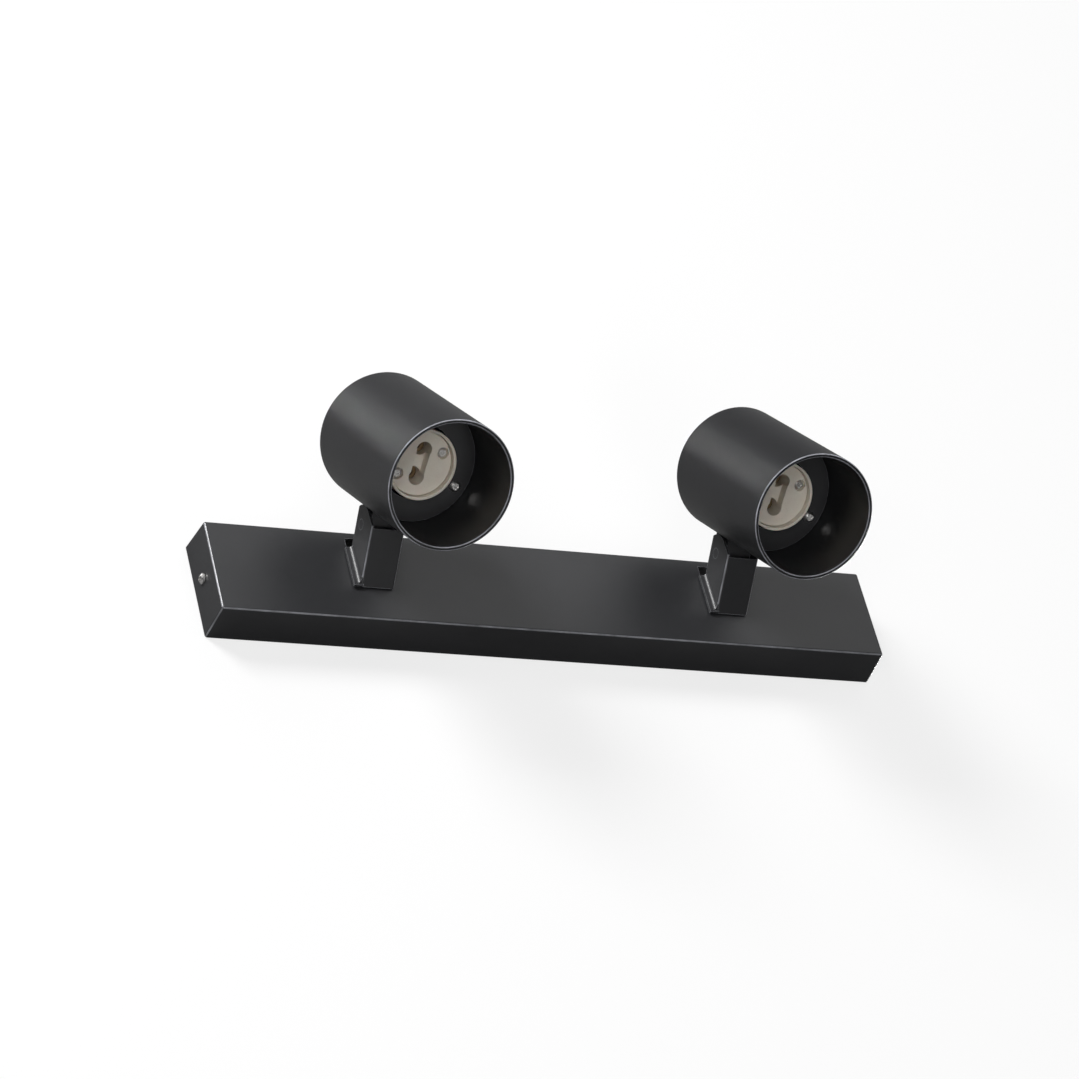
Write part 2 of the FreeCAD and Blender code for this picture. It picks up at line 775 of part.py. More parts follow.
def round_folds(body):
    """Round the two long folds between the web and the flanges, seen along the leaning arm."""
    across_web = "(-foot_depth / 2 * cos(arm_lean) - friction_washer * sin(arm_lean))"
    for side in (-1, 1):
        edge = "%d * arm_width / 2" % side
        start = "(%s - %d * arm_bend)" % (edge, side)
        beyond = "(%s + %d * arm_sheet)" % (edge, side)
        low, high = across_web + " - arm_sheet", across_web + " + arm_bend"
        corners = [(start, low), (beyond, low), (beyond, high), (edge, high), (start, across_web)]
        arc_side = 3
        if side < 0:
            corners = [(start, across_web), (edge, high), (beyond, high), (beyond, low), (start, low)]
            arc_side = 0
        sketch = sketch_on(body, XY, tilt="-arm_lean")
        outline(sketch, corners, hollows={arc_side: (start, high)})
        pocket(body, sketch, "foot_depth * 6", both_ways=True)


def fold_lip(body):
    """The lip outside the left flange's foot, with a hollow bend up to the flange."""
    flange, far = "-arm_width / 2", "(-arm_width / 2 - lip_reach)"
    plan = rectangle(sketch_on(body, XY, "friction_washer"), far, "-foot_depth / 2", "-arm_inside", "foot_depth / 2")
    pad(body, plan, "arm_sheet")
    bend_start = "(-arm_width / 2 - lip_bend)"
    bend_top = "(floor_top + lip_bend)"
    bend = outline(sketch_on(body, XZ), [
        (bend_start, "floor_top - arm_sheet / 2"),
        ("-arm_width / 2 + arm_sheet / 2", "floor_top - arm_sheet / 2"),
        ("-arm_width / 2 + arm_sheet / 2", bend_top),
        (flange, bend_top),
        (bend_start, "floor_top"),
    ], hollows={3: (bend_start, bend_top)})
    pad(body, bend, "foot_depth", both_ways=True)
    front_along = "(floor_top - friction_washer) / cos(arm_lean)"
    front = outline(sketch_on(body, YZ), [
        ("-foot_depth", "floor_top"),
        arm_point("0", front_along),
        arm_point("0", "foot_depth / 2"),
        ("-foot_depth", "foot_depth"),
    ])
    pocket(body, front, "foot_depth * 2", both_ways=True)


def arm(label, frame):
    """A folded channel that leans over its foot, with a lip outside one flange and a stop tongue."""
    body = new_body(label)
    pivot = arm_point("pivot_inset", "pivot_height")
    rear_top = "pivot_height + sqrt(pow(flange_round; 2) - pow(flange_depth - pivot_inset; 2))"
    chamfer_across = "pivot_inset - flange_round * sin(tilt_forward)"
    chamfer_along = "pivot_height + flange_round * cos(tilt_forward)"
    side_view = outline(sketch_on(body, YZ), [
        ("-foot_depth / 2", "friction_washer"),
        ("foot_depth / 2", "friction_washer"),
        arm_point("flange_depth", rear_top),
        arm_point(chamfer_across, chamfer_along),
        arm_point("0", "flange_front"),
    ], rounds={2: pivot})
    pad(body, side_view, "arm_width", both_ways=True)
    inner_along = "(arm_sheet + arm_sheet * sin(arm_lean)) / cos(arm_lean)"
    inside = outline(sketch_on(body, YZ), [
        arm_point("arm_sheet", inner_along),
        ("foot_depth", "floor_top"),
        arm_point("foot_depth * 2", "foot_depth * 2"),
        arm_point("-arm_sheet", "foot_depth * 2"),
        arm_point("-arm_sheet", "web_top"),
        arm_point("arm_sheet", "web_top"),
    ])
    pocket(body, inside, "arm_inside * 2", both_ways=True)
    round_folds(body)
    fold_lip(body)
    tongue = outline(sketch_on(body, YZ), [
        ("foot_depth / 2 - arm_sheet", "friction_washer"),
        ("tongue_out - arm_sheet", "friction_washer"),
        ("tongue_out - arm_sheet", "-tongue_drop"),
        ("tongue_out", "-tongue_drop"),
        ("tongue_out", "floor_top"),
        ("foot_depth / 2 - arm_sheet", "floor_top"),
    ])
    pad(body, tongue, "tongue_width", both_ways=True)
    bush_hole = circle(sketch_on(body, XY, "floor_top"), "bush_diameter / 2 + push_fit")
    pocket(body, bush_hole, "arm_sheet * 2")
    pin_holes = circle(sketch_on(body, YZ), "pin_diameter / 2 + push_fit", *pivot)
    pocket(body, pin_holes, "arm_width * 2", both_ways=True)
    return place(body, frame)


def swivel(prefix, foot):
    ring_part(prefix + "swivel_washer", foot, "bush_diameter / 2 + running_fit",
              "friction_washer_diameter / 2", "0", "friction_washer")
    turned_part(prefix + "swivel_bush", foot, [
        ("bush_bore / 2", "bush_bottom"),
        ("bush_diameter / 2 - small_edge", "bush_bottom"),
        ("bush_diameter / 2", "bush_bottom + small_edge"),
        ("bush_diameter / 2", "floor_top"),
        ("bush_flange_diameter / 2", "floor_top"),
        ("bush_flange_diameter / 2", "floor_top + bush_flange"),
        ("bush_bore / 2", "floor_top + bush_flange"),
    ])
    ring_part(prefix + "spring_washer", foot, "bush_diameter / 2 + running_fit",
              "friction_washer_diameter / 2", "spring_top - spring_washer", "spring_top")
    nut = new_body(prefix + "swivel_nut")
    hexagon(nut, "nut_across_flats / 2", "bush_diameter / 2 + push_fit", "nut_top - nut_height", "nut_height")
    place(nut, foot)


def pivot_hardware(prefix, frame):
    pins, washers = [], []
    middle = "(arm_inside + lug_width / 2) / 2"
    for side, turn in ((-1, "-90"), (1, "90")):
        end = "left" if side < 0 else "right"
        pin = new_body("%spivot_pin_%s" % (prefix, end))
        turned(pin, [
            ("0", "-(pin_length)"),
            ("pin_diameter / 2 - small_edge", "-(pin_length)"),
            ("pin_diameter / 2", "-(pin_length) + small_edge"),
            ("pin_diameter / 2", "0"),
            ("0", "0"),
        ])
        pins.append(shift(pin, "%d * arm_width / 2" % side, axis=(0, 1, 0), turn=turn))
        washer = new_body("%spivot_washer_%s" % (prefix, end))
        ring(washer, "pin_diameter / 2 + running_fit", "pivot_washer_diameter / 2",
             "-pivot_washer / 2", "pivot_washer / 2")
        washers.append(shift(washer, "%d * %s" % (side, middle), axis=(0, 1, 0), turn=turn))
    group(prefix + "pivot_pins", pins, frame)
    group(prefix + "pivot_washers", washers, frame)


# ---------------------------------------------------------------- head

def hinge_lug(label, frame):
    """A block with a round foot, bored for the pins and the wires, that carries the tube."""
    body = new_body(label)
    high = "tube_lift + tube_wall"
    pad(body, outline(sketch_on(body, YZ), [
        ("-lug_round", "0"),
        ("lug_round", "0"),
        ("lug_round", high),
        ("-lug_round", high),
    ], rounds={0: ("0", "0")}), "lug_width", both_ways=True)
    saddle = circle(sketch_on(body, XZ), "tube_radius + push_fit", "0", "axis_lift")
    pocket(body, saddle, "lug_round * 4", both_ways=True)
    pocket(body, circle(sketch_on(body, XY), "lug_bore / 2"), "axis_lift * 2", both_ways=True)
    pocket(body, circle(sketch_on(body, YZ), "pin_diameter / 2 + running_fit"), "lug_width * 2", both_ways=True)
    screws = sketch_on(body, XY, "tube_lift - lug_screw_depth")
    for side in (-1, 1):
        circle(screws, "fine_screw / 2 + push_fit", "0", "%d * lug_screw_offset" % side)
    pocket(body, screws, "axis_lift", back=True)
    return place(body, frame)


def lug_screws(prefix, frame):
    screws = []
    for number, side in enumerate((-1, 1)):
        screw = pan_screw("%slug_screw_%d" % (prefix, number), "fine_screw",
                          "tube_wall + lug_screw_depth - fit_gap")
        screws.append(shift(screw, "0", "%d * lug_screw_offset" % side, "screw_seat"))
    return group(prefix + "lug_screws", screws, frame)


def head_tube(label, frame):
    body = new_body(label)
    turned(body, [
        ("tube_bore", "0"),
        ("tube_radius - rim_chamfer", "0"),
        ("tube_radius", "rim_chamfer"),
        ("tube_radius", "tube_length - rim_chamfer"),
        ("tube_radius - rim_chamfer", "tube_length"),
        ("tube_bore + rim_chamfer", "tube_length"),
        ("tube_bore", "tube_length - rim_chamfer"),
    ])
    holes = sketch_on(body, XZ)
    circle(holes, "lug_bore / 2", "0", "tube_back")
    for side in (-1, 1):
        circle(holes, "fine_screw / 2 + screw_gap", "0", "tube_back + %d * lug_screw_offset" % side)
    pocket(body, holes, "tube_diameter", back=True)
    return place(body, frame)


def rear_cap(label, frame):
    return turned_part(label, frame, [
        ("0", "cap_recess"),
        ("tube_bore - push_fit - rim_chamfer", "cap_recess"),
        ("tube_bore - push_fit", "cap_recess + rim_chamfer"),
        ("tube_bore - push_fit", "cap_recess + cap_sheet"),
        ("0", "cap_recess + cap_sheet"),
    ])


def around(circle_radius, angle, side):
    """A point on a circle about the lamp axis, and the one opposite for side -1."""
    return ("%d * %s * cos(%s)" % (side, circle_radius, angle),
            "%d * %s * sin(%s)" % (side, circle_radius, angle))


def partition_disc(label, frame):
    body = new_body(label)
    ring(body, "disc_hole / 2", "tube_bore - fit_gap", "disc_back", "disc_front")
    holes = sketch_on(body, XY, "disc_front")
    for side in (-1, 1):
        circle(holes, "small_screw / 2 + screw_gap", *around("disc_screw_circle", "disc_screw_angle", side))
    pocket(body, holes, "disc_sheet * 2")
    return place(body, frame)


def disc_tabs(prefix, frame):
    """Two folded tabs on the tube's wall that the disc's screws run into."""
    tabs = []
    for number, turn in enumerate(("disc_screw_angle", "disc_screw_angle + 180")):
        body = new_body("%sdisc_tab_%d" % (prefix, number))
        inner = "disc_screw_circle - small_screw"
        profile = outline(sketch_on(body, XZ), [
            (inner, "foot_back - tab_sheet"),
            ("tab_face - tab_sheet", "foot_back - tab_sheet"),
            ("tab_face - tab_sheet", "foot_back - tab_height"),
            ("tab_face", "foot_back - tab_height"),
            ("tab_face", "foot_back"),
            (inner, "foot_back"),
        ])
        pad(body, profile, "tab_width", both_ways=True)
        hole = circle(sketch_on(body, XY, "foot_back"), "small_screw / 2 + push_fit", "disc_screw_circle")
        pocket(body, hole, "tab_sheet * 2")
        tabs.append(shift(body, turn=turn))
    return group(prefix + "disc_tabs", tabs, frame)


def disc_screws(prefix, frame):
    screws = []
    for number, side in enumerate((-1, 1)):
        screw = pan_screw("%sdisc_screw_%d" % (prefix, number), "small_screw",
                          "disc_sheet + bracket_sheet + tab_sheet + fit_gap")
        x, y = around("disc_screw_circle", "disc_screw_angle", side)
        screws.append(shift(screw, x, y, "disc_front + push_fit"))
    return group(prefix + "disc_screws", screws, frame)


def lamp_bracket(prefix, frame):
    """A cradle behind the lampholder with two legs and two feet behind the disc."""
    body = new_body(prefix + "lamp_cradle")
    low = "(holder_back - bracket_sheet)"
    foot_end = "disc_screw_circle + small_screw"
    leg_outside = "(leg_inside + bracket_sheet)"
    hat = outline(sketch_on(body, XZ), [
        ("-" + leg_outside, low),
        (leg_outside, low),
        (leg_outside, "foot_back"),
        (foot_end, "foot_back"),
        (foot_end, "disc_back"),
        ("leg_inside", "disc_back"),
        ("leg_inside", "holder_back"),
        ("-leg_inside", "holder_back"),
        ("-leg_inside", "disc_back"),
        ("-(%s)" % foot_end, "disc_back"),
        ("-(%s)" % foot_end, "foot_back"),
        ("-" + leg_outside, "foot_back"),
    ])
    pad(body, hat, "bracket_width", both_ways=True)
    pad(body, circle(sketch_on(body, XY, low), "holder_diameter / 2 - 1"), "bracket_sheet")
    feet = sketch_on(body, XY, "disc_back")
    for side in (-1, 1):
        circle(feet, "small_screw / 2 + screw_gap", "%d * disc_screw_circle" % side)
    pocket(body, feet, "bracket_sheet * 2")
    middle = sketch_on(body, XY, "holder_back")
    for side in (-1, 1):
        circle(middle, "small_screw / 2 + push_fit",
               *around("holder_screw_circle", "(holder_screw_angle - disc_screw_angle)", side))
    circle(middle, "wire_hole / 2")
    pocket(body, middle, "bracket_sheet * 2")
    return group(prefix + "lamp_bracket", [shift(body, turn="disc_screw_angle")], frame)


def lobes(sketch):
    """The two round ends of the keyhole opening, where a lamp's pins go in."""
    for side in (-1, 1):
        circle(sketch, "keyhole_radius", *around("keyhole_pitch", "keyhole_angle", side))
    return sketch


def keyholes(sketch):
    """Both round ends joined by the waist that the pins turn in, as one outline."""
    cos, sin = "cos(keyhole_angle)", "sin(keyhole_angle)"
    half, reach = "keyhole_waist / 2", "sqrt(pow(keyhole_radius; 2) - pow(keyhole_waist / 2; 2))"
    inner = "(keyhole_pitch - %s)" % reach

    def at(along, across):
        return ("(%s) * %s - (%s) * %s" % (along, cos, across, sin),
                "(%s) * %s + (%s) * %s" % (along, sin, across, cos))

    first, second = at("keyhole_pitch", "0"), at("-keyhole_pitch", "0")
    outline(sketch, [at("-" + inner, "-" + half), at(inner, "-" + half),
                     at(inner, half), at("-" + inner, half)], rounds={1: first, 3: second})
    return sketch


def lampholder(prefix, frame):
    """A body whose collar stands round a screwed-on face, with a deep keyhole at each pin."""
    body = new_body(prefix + "lampholder_body")
    rim = "holder_diameter / 2"
    turned(body, [
        ("0", "holder_back"),
        (rim + " - holder_edge", "holder_back"),
        (rim, "holder_back + holder_edge"),
        (rim, "collar_front - small_edge"),
        (rim + " - small_edge", "collar_front"),
        ("collar_bore + small_edge", "collar_front"),
        ("collar_bore", "collar_front - small_edge"),
        ("collar_bore", "body_front"),
        ("0", "body_front"),
    ])
    pocket(body, keyholes(sketch_on(body, XY, "body_front")), "waist_depth - face_height")
    pocket(body, lobes(sketch_on(body, XY, "body_front")), "keyhole_depth - face_height")
    screws = sketch_on(body, XY, "body_front")
    for side in (-1, 1):
        circle(screws, "small_screw / 2 + screw_gap", *around("holder_screw_circle", "holder_screw_angle", side))
    pocket(body, screws, "holder_height")
    place(body, frame)

    face = new_body(prefix + "lampholder_face")
    turned(face, [
        ("0", "body_front + push_fit"),
        ("face_radius", "body_front + push_fit"),
        ("face_radius", "face_front - small_edge"),
        ("face_radius - small_edge", "face_front"),
        ("0", "face_front"),
    ])
    pocket(face, keyholes(sketch_on(face, XY, "face_front")), "face_height * 2")
    for radius, depth in (("small_screw / 2 + screw_gap", "face_height * 2"),
                          ("counterbore_diameter / 2", "counterbore_depth")):
        holes = sketch_on(face, XY, "face_front")
        for side in (-1, 1):
            circle(holes, radius, *around("holder_screw_circle", "holder_screw_angle", side))
        pocket(face, holes, depth)
    place(face, frame)

    screws = []
    for number, side in enumerate((-1, 1)):
        screw = pan_screw("%slampholder_screw_%d" % (prefix, number), "small_screw",
                          "holder_height - counterbore_depth + bracket_sheet + fit_gap")
        x, y = around("holder_screw_circle", "holder_screw_angle", side)
        screws.append(shift(screw, x, y, "face_front - counterbore_depth + push_fit"))
    group(prefix + "lampholder_screws", screws, frame)

    contacts = []
    floor = "(face_front - keyhole_depth)"
    for number, side in enumerate((-1, 1)):
        contact = new_body("%slamp_contact_%d" % (prefix, number))
        ring(contact, "keyhole_radius / 2", "keyhole_radius - fit_gap", floor, floor + " + contact_length")
        x, y = around("keyhole_pitch", "keyhole_angle", side)
        contacts.append(shift(contact, x, y))
    group(prefix + "lamp_contacts", contacts, frame)


# ---------------------------------------------------------------- assembly

def build_base():
    base_cover()
    mounting_plate()
    cover_screws()
    terminal_block()
    terminal_clamps()
    terminal_screws()
    terminal_fixing_screw()
    earth_parts()
    cable_grommet()
    supply_lead(-1, "left_supply_lead")
    supply_lead(1, "right_supply_lead")
    earth_lead()


def build_side(side, prefix):
    foot, pivot, lamp = side_frames(side)
    arm(prefix + "arm", foot)
    swivel(prefix, foot)
    arm_lead(prefix + "arm_lead", foot)
    pivot_hardware(prefix, pivot)
    hinge_lug(prefix + "hinge_lug", pivot)
    lug_screws(prefix, pivot)
    head_lead(prefix + "head_lead", pivot)
    head_tube(prefix + "head_tube", lamp)
    rear_cap(prefix + "rear_cap", lamp)
    partition_disc(prefix + "partition_disc", lamp)
    disc_tabs(prefix, lamp)
    disc_screws(prefix, lamp)
    lamp_bracket(prefix, lamp)
    lampholder(prefix, lamp)


def check_and_write():
    doc.recompute()
    for item in doc.Objects:
        if "Invalid" in item.State or "Error" in item.State:
            raise RuntimeError("%s failed: %s" % (item.Label, item.State))
    for item in SUBPARTS:
        if item.Shape.isNull() or not item.Shape.isValid():
            raise RuntimeError("bad shape: " + item.Label)
    os.makedirs("parts", exist_ok=True)
    for item in SUBPARTS:
        item.Shape.exportStep("parts/%s.step" % item.Label)
    print("%d sub-parts written" % len(SUBPARTS))


build_base()
build_side(-1, "left_")
build_side(1, "right_")
check_and_write()
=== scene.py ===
"""Looks of the pivoting twin spotlight: materials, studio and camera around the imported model.

Metres, in the part's own frame: the wall plane is Y = 0, the front looks along -Y and +Z is up.
"""

import json

import bpy
from mathutils import Matrix, Vector

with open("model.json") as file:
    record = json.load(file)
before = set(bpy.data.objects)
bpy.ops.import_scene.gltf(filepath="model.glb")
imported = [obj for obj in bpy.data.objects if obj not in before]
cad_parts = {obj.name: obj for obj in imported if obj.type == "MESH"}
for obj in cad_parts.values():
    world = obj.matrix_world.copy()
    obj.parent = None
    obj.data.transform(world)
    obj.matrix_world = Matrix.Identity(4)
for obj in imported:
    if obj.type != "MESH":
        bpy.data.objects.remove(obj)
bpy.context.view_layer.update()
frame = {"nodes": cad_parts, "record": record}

NODES = frame["nodes"]
MM = 0.001

# ---------------------------------------------------------------- camera

# Where the photograph was taken from, in metres and unit vectors.
CAMERA_SPOT = Vector((-0.885706, -1.422382, -1.133661))
CAMERA_VIEW = Vector((0.437148, 0.692154, 0.574304))
CAMERA_RIGHT = Vector((0.896416, -0.387192, -0.215687))
CAMERA_LENS = 144.556
SENSOR = 36.0


def add_camera():
    view = CAMERA_VIEW.normalized()
    right = (CAMERA_RIGHT - view * CAMERA_RIGHT.dot(view)).normalized()
    up = right.cross(view)
    data = bpy.data.cameras.new("camera")
    data.lens = CAMERA_LENS
    data.sensor_width = SENSOR
    data.sensor_fit = "HORIZONTAL"
    data.clip_start = 0.01
    data.clip_end = 50
    camera = bpy.data.objects.new("camera", data)
    turn = Matrix((right, up, -view)).transposed()
    camera.matrix_world = Matrix.Translation(CAMERA_SPOT) @ turn.to_4x4()
    bpy.context.scene.collection.objects.link(camera)
    bpy.context.scene.camera = camera


# ---------------------------------------------------------------- node helpers

# How much fine detail each octave of the noise adds.
NOISE_ROUGHNESS = 0.55
# Rays per point that look for a sharp edge.
BEVEL_SAMPLES = 6
# From flat to edge: cosine between the true and the rounded normal on a sharp edge.
SHARP_TURN = (0.98, 0.80)
# From face to rounded edge: product of the cosines to the two faces' axes.
CREASE_TURN = (0.32, 0.46)


class Tree:
    """A material's nodes, with short calls for the ones used here."""

    def __init__(self, name):
        self.material = bpy.data.materials.new(name)
        self.material.use_nodes = True
        self.nodes = self.material.node_tree.nodes
        self.links = self.material.node_tree.links
        self.nodes.clear()
        self.output = self.nodes.new("ShaderNodeOutputMaterial")
        coordinates = self.nodes.new("ShaderNodeTexCoord")
        self.spot = coordinates.outputs["Object"]
        self.normal = coordinates.outputs["Normal"]

    def link(self, source, target):
        self.links.new(source, target)

    def noise(self, scale, detail=3.0, stretch=None):
        node = self.nodes.new("ShaderNodeTexNoise")
        node.inputs["Scale"].default_value = scale
        node.inputs["Detail"].default_value = detail
        node.inputs["Roughness"].default_value = NOISE_ROUGHNESS
        self.link(self.stretched(stretch), node.inputs["Vector"])
        return node.outputs["Fac"]

    def stretched(self, stretch):
        if stretch is None:
            return self.spot
        node = self.nodes.new("ShaderNodeMapping")
        node.inputs["Scale"].default_value = stretch
        self.link(self.spot, node.inputs["Vector"])
        return node.outputs["Vector"]

    def cells(self, scale):
        node = self.nodes.new("ShaderNodeTexVoronoi")
        node.inputs["Scale"].default_value = scale
        self.link(self.spot, node.inputs["Vector"])
        return node.outputs["Distance"]

    def ramp(self, source, low, high, low_value=0.0, high_value=1.0):
        """Map a factor from low..high to low_value..high_value, held at the ends."""
        node = self.nodes.new("ShaderNodeMapRange")
        node.inputs["From Min"].default_value = low
        node.inputs["From Max"].default_value = high
        node.inputs["To Min"].default_value = low_value
        node.inputs["To Max"].default_value = high_value
        self.link(source, node.inputs["Value"])
        return node.outputs["Result"]

    def math(self, kind, first, second):
        node = self.nodes.new("ShaderNodeMath")
        node.operation = kind
        for socket, item in zip(node.inputs, (first, second)):
            if isinstance(item, (int, float)):
                socket.default_value = item
            else:
                self.link(item, socket)
        return node.outputs["Value"]

    def mix(self, factor, first, second):
        """Mix two colours, each a tuple or an output."""
        node = self.nodes.new("ShaderNodeMix")
        node.data_type = "RGBA"
        self.link(factor, node.inputs["Factor"])
        for name, item in (("A", first), ("B", second)):
            socket = [one for one in node.inputs if one.name == name and one.type == "RGBA"][0]
            if isinstance(item, tuple):
                socket.default_value = (*item, 1.0)
            else:
                self.link(item, socket)
        return [one for one in node.outputs if one.type == "RGBA"][0]

    def bump(self, height, distance, strength):
        node = self.nodes.new("ShaderNodeBump")
        node.inputs["Distance"].default_value = distance
        node.inputs["Strength"].default_value = strength
        self.link(height, node.inputs["Height"])
        return node.outputs["Normal"]

    def edges(self, radius):
        """Near 1 within a radius of a sharp edge, 0 elsewhere."""
        soft = self.nodes.new("ShaderNodeBevel")
        soft.samples = BEVEL_SAMPLES
        soft.inputs["Radius"].default_value = radius
        flat = self.nodes.new("ShaderNodeNewGeometry").outputs["Normal"]
        dot = self.nodes.new("ShaderNodeVectorMath")
        dot.operation = "DOT_PRODUCT"
        self.link(soft.outputs["Normal"], dot.inputs[0])
        self.link(flat, dot.inputs[1])
        return self.ramp(dot.outputs["Value"], *SHARP_TURN)

    def facing(self, axis):
        """How far the surface faces along an axis, 0 to 1, either way."""
        node = self.nodes.new("ShaderNodeVectorMath")
        node.operation = "DOT_PRODUCT"
        self.link(self.normal, node.inputs[0])
        node.inputs[1].default_value = axis
        return self.math("ABSOLUTE", node.outputs["Value"], 0.0)

    def crease(self, first, second):
        """Near 1 on a rounded or chamfered edge between faces along two axes."""
        both = self.math("MULTIPLY", self.facing(first), self.facing(second))
        return self.ramp(both, *CREASE_TURN)

    def any_of(self, masks):
        result = masks[0]
        for mask in masks[1:]:
            result = self.math("MAXIMUM", result, mask)
        return result

    def principled(self, **values):
        node = self.nodes.new("ShaderNodeBsdfPrincipled")
        for name, item in values.items():
            socket = node.inputs[name.replace("_", " ")]
            if isinstance(item, tuple):
                socket.default_value = (*item, 1.0)
            elif isinstance(item, (int, float)):
                socket.default_value = item
            else:
                self.link(item, socket)
        self.link(node.outputs["BSDF"], self.output.inputs["Surface"])
        return node


# ---------------------------------------------------------------- materials

# How many times paler than the coat the painted highlight on an edge is, on the cover and arms and on the
# tubes.
PAINTED_EDGE_HIGHLIGHT = 12.0
PAINTED_RIM_HIGHLIGHT = 30.0
# Width of the painted edge highlight's band, and the range in which a chamfer counts as the tube's rim.
HIGHLIGHT_BAND = 0.45 * MM
RIM_TURN = (0.24, 0.42)
# Noise scales of the coat: orange peel, how much slower its waves are, clouds and the patches that vary the
# painted edge highlight.
PEEL_GRAIN = 2600.0
PEEL_WAVES = 9
CLOUD_GRAIN = 38
HIGHLIGHT_PATCH_GRAIN = 150
# Noise values that count as none and as full, in clouds and in orange peel.
CLOUD_SPAN = (0.3, 0.7)
PEEL_SPAN = (0.25, 0.75)
# Speckle: its scale, the cell distances between which it fades in, its strength and its paleness.
SPECKLE_GRAIN = PEEL_GRAIN * 0.8
SPECKLE_FADE = (0.10, 0.45)
SPECKLE_STRENGTH = 0.35
SPECKLE_PALER = 1.35
# Least and most of the painted edge highlight that a patch keeps, and how much smoother the coat is under
# it.
HIGHLIGHT_PATCH_KEPT = (0.45, 1.0)
HIGHLIGHT_POLISH = 0.12
# Heights of the peel and of its waves, as shares of the bump's depth.
PEEL_HEIGHT = 0.6
WAVE_HEIGHT = 0.8
BUMP_DEPTH = 0.02 * MM
BUMP_STRENGTH = 0.5
COAT_BUMP_STRENGTH = 0.55
# How far the roughness strays below and above its middle value.
COAT_SPREAD = (-0.05, 0.06)
PLATE_SPREAD = (-0.07, 0.12)
MOULD_SPREAD = (-0.06, 0.08)
# Plated steel: its grain's scale, stretch and depth, and its clouds' scale, span and darkness.
PLATE_GRAIN = 12.0
BRUSHED = (60.0, 60.0, 900.0)
PLATE_DEPTH = 0.01 * MM
PLATE_CLOUDS = 160
PLATE_SPAN = (0.35, 0.7)
CLOUDED = 0.86
MOULD_CLOUDS = 90
MOULD_GRAIN = 1400.0
# Ceramic: scales of its clouds, grain and pores, the cell distances of a pore, and its depth's share.
CLAY_CLOUDS = 120
CLAY_GRAIN = 1900
PORE_GRAIN = 1500
PORE_FADE = (0.02, 0.16)
PORE_DEPTH = 0.8
CLAY_DARK = (0.79, 0.72, 0.62)
CLAY_LIGHT = (0.86, 0.80, 0.70)
CLAY_PORE = (0.42, 0.37, 0.29)
CLAY_ROUGH = 0.52
CLAY_SPECULAR = 0.45
CLAY_GLOW = 0.08
CLAY_GLOW_DEPTH = 1 * MM
COAT_SPECULAR = 0.5
COAT_DARK = (0.019, 0.0193, 0.021)
COAT_LIGHT = (0.025, 0.0255, 0.0275)
TUBE_DARK = (0.0115, 0.0117, 0.013)
TUBE_LIGHT = (0.0155, 0.0158, 0.0175)
TUBE_ROUGH = 0.32

# The part's own axes, and the axis of the lamp tubes at rest.
ACROSS = (1.0, 0.0, 0.0)
OUTWARD = (0.0, -1.0, 0.0)
UPWARD = (0.0, 0.0, 1.0)
TUBE_AXIS = (0.0, -0.5864, -0.8100)


def radial(tree):
    """How far the surface faces away from the tube's axis, 0 to 1."""
    along = tree.facing(TUBE_AXIS)
    return tree.math("SQRT", tree.math("SUBTRACT", 1.0, tree.math("MULTIPLY", along, along)), 0.0)


# Masks for painted highlights: the cover's rounded edges, the arms' fold and the tubes' rims.
def cover_edges(tree):
    return [tree.crease(ACROSS, OUTWARD), tree.crease(UPWARD, OUTWARD), tree.crease(ACROSS, UPWARD)]


def arm_edges(tree):
    return [tree.crease(ACROSS, TUBE_AXIS)]


def tube_edges(tree):
    both = tree.math("MULTIPLY", tree.facing(TUBE_AXIS), radial(tree))
    return [tree.ramp(both, *RIM_TURN)]


def around(middle, spread):
    """The lowest and the highest roughness around a middle one."""
    return [middle + one for one in spread]


def powder_coat(name, dark, light, rough=0.39, rounded=None, highlight_gain=PAINTED_EDGE_HIGHLIGHT):
    """A thin satin powder coat: fine orange peel, faint speckle and painted highlights on its edges."""
    tree = Tree(name)
    peel = tree.noise(PEEL_GRAIN, detail=2.0)
    flow = tree.noise(PEEL_GRAIN / PEEL_WAVES, detail=2.0)
    cloud = tree.noise(CLOUD_GRAIN)
    speckle = tree.ramp(tree.cells(SPECKLE_GRAIN), *SPECKLE_FADE)
    colour = tree.mix(tree.ramp(cloud, *CLOUD_SPAN), dark, light)
    dust = tree.math("MULTIPLY", speckle, SPECKLE_STRENGTH)
    colour = tree.mix(dust, colour, tuple(SPECKLE_PALER * one for one in light))
    # Painted highlight: sharp edges and the masked rounded edges turn paler in patches, and a little
    # smoother.
    masks = [tree.edges(HIGHLIGHT_BAND)]
    if rounded:
        masks += rounded(tree)
    highlight_patches = tree.ramp(tree.noise(HIGHLIGHT_PATCH_GRAIN, detail=4.0), *CLOUD_SPAN, *HIGHLIGHT_PATCH_KEPT)
    painted_highlight = tree.math("MULTIPLY", tree.any_of(masks), highlight_patches)
    colour = tree.mix(painted_highlight, colour, tuple(highlight_gain * one for one in light))
    roughness = tree.ramp(peel, *PEEL_SPAN, *around(rough, COAT_SPREAD))
    roughness = tree.math("SUBTRACT", roughness, tree.math("MULTIPLY", painted_highlight, HIGHLIGHT_POLISH))
    peel_height = tree.math("MULTIPLY", peel, PEEL_HEIGHT)
    height = tree.math("ADD", peel_height, tree.math("MULTIPLY", flow, WAVE_HEIGHT))
    normal = tree.bump(height, BUMP_DEPTH, COAT_BUMP_STRENGTH)
    tree.principled(Base_Color=colour, Roughness=roughness, Specular_IOR_Level=COAT_SPECULAR, Normal=normal)
    return tree.material


